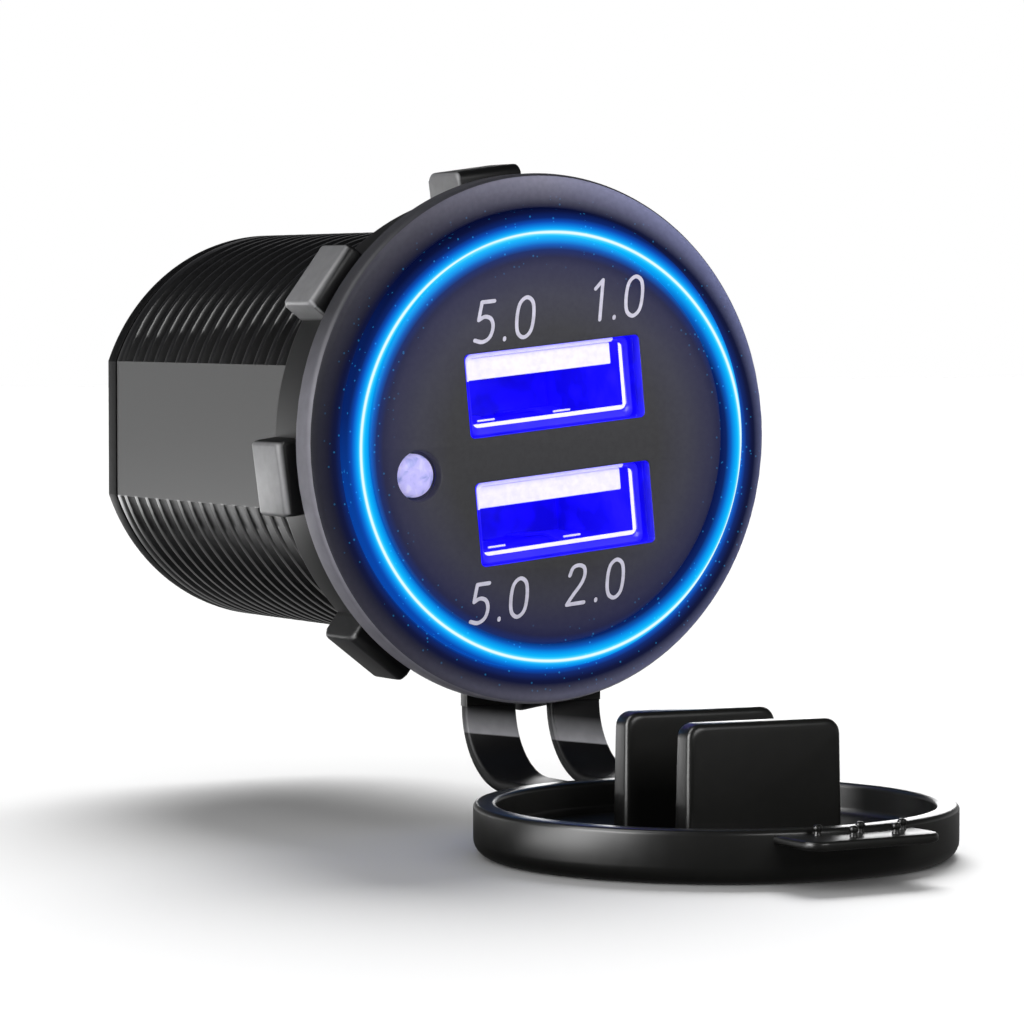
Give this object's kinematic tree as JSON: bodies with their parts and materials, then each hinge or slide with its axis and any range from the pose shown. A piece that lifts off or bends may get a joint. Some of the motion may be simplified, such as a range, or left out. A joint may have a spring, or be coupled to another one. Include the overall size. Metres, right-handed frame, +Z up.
{
  "type": "dual usb socket",
  "caption": "Round panel socket for a vehicle: USB charging ports in a plate inside a lit ring, on a ribbed barrel with a fixing nut and a tethered rubber cap.",
  "frame": {"origin": "on the barrel's axis, in the plane of the flange's rear face where the panel seats", "axes": "+Y along the barrel towards its rear, +Z up, +X to the right as the face is looked at; the face looks along -Y"},
  "size_m": [0.0386, 0.0907, 0.0459],
  "materials": {
    "housing_abs": "moulded black plastic with a satin skin",
    "plate_abs": "moulded black plastic with a fine matt texture",
    "light_guide": "clear plastic that carries blue light",
    "lamp_clear": "clear epoxy lamp body",
    "cap_rubber": "smooth moulded rubber with a low sheen",
    "shell_steel": "nickel plated folded steel",
    "port_plastic": "blue moulded plastic",
    "contact_brass": "gilt contact strip",
    "terminal_brass": "tinned brass blade",
    "board_green": "glass epoxy board with green lacquer",
    "component_black": "moulded black component body",
    "can_aluminium": "drawn aluminium can"
  },
  "bodies": {
    "root": {"housing": "housing_abs", "light_ring": "light_guide", "face_plate": "plate_abs", "indicator_led": "lamp_clear", "ring_board": "board_green", "ring_leds": "lamp_clear", "port_board": "board_green", "converter_board": "board_green", "board_header": "component_black", "inductor": "component_black", "output_capacitor": "can_aluminium", "input_capacitor": "can_aluminium", "converter_chip": "component_black", "input_diode": "component_black", "rear_cover": "plate_abs", "terminal_positive": "terminal_brass", "terminal_negative": "terminal_brass", "cap_ring": "cap_rubber", "usb_shell_upper": "shell_steel", "usb_insulator_upper": "port_plastic", "usb_contacts_upper": "contact_brass", "usb_shell_lower": "shell_steel", "usb_insulator_lower": "port_plastic", "usb_contacts_lower": "contact_brass"},
    "straps": {"cap_straps": "cap_rubber"},
    "lid": {"cap_lid": "cap_rubber"},
    "nut": {"fixing_nut": "housing_abs"}
  },
  "joints": [
    {"name": "lid_swing", "type": "hinge", "parent": "root", "child": "straps", "pos_m": [0.0005, -0.00575, -0.01946], "axis": [-1, 0, 0], "range_deg": [0, 90], "stiffness_Nm_per_rad": 0.0004, "deforming": ["cap_straps"]},
    {"name": "lid_press", "type": "slide", "parent": "straps", "child": "lid", "axis": [0, 0, 1], "range_m": [0, 0.0059]},
    {"name": "nut_travel", "type": "slide", "parent": "root", "child": "nut", "axis": [0, 1, 0], "range_m": [0, 0.034]}
  ]
}
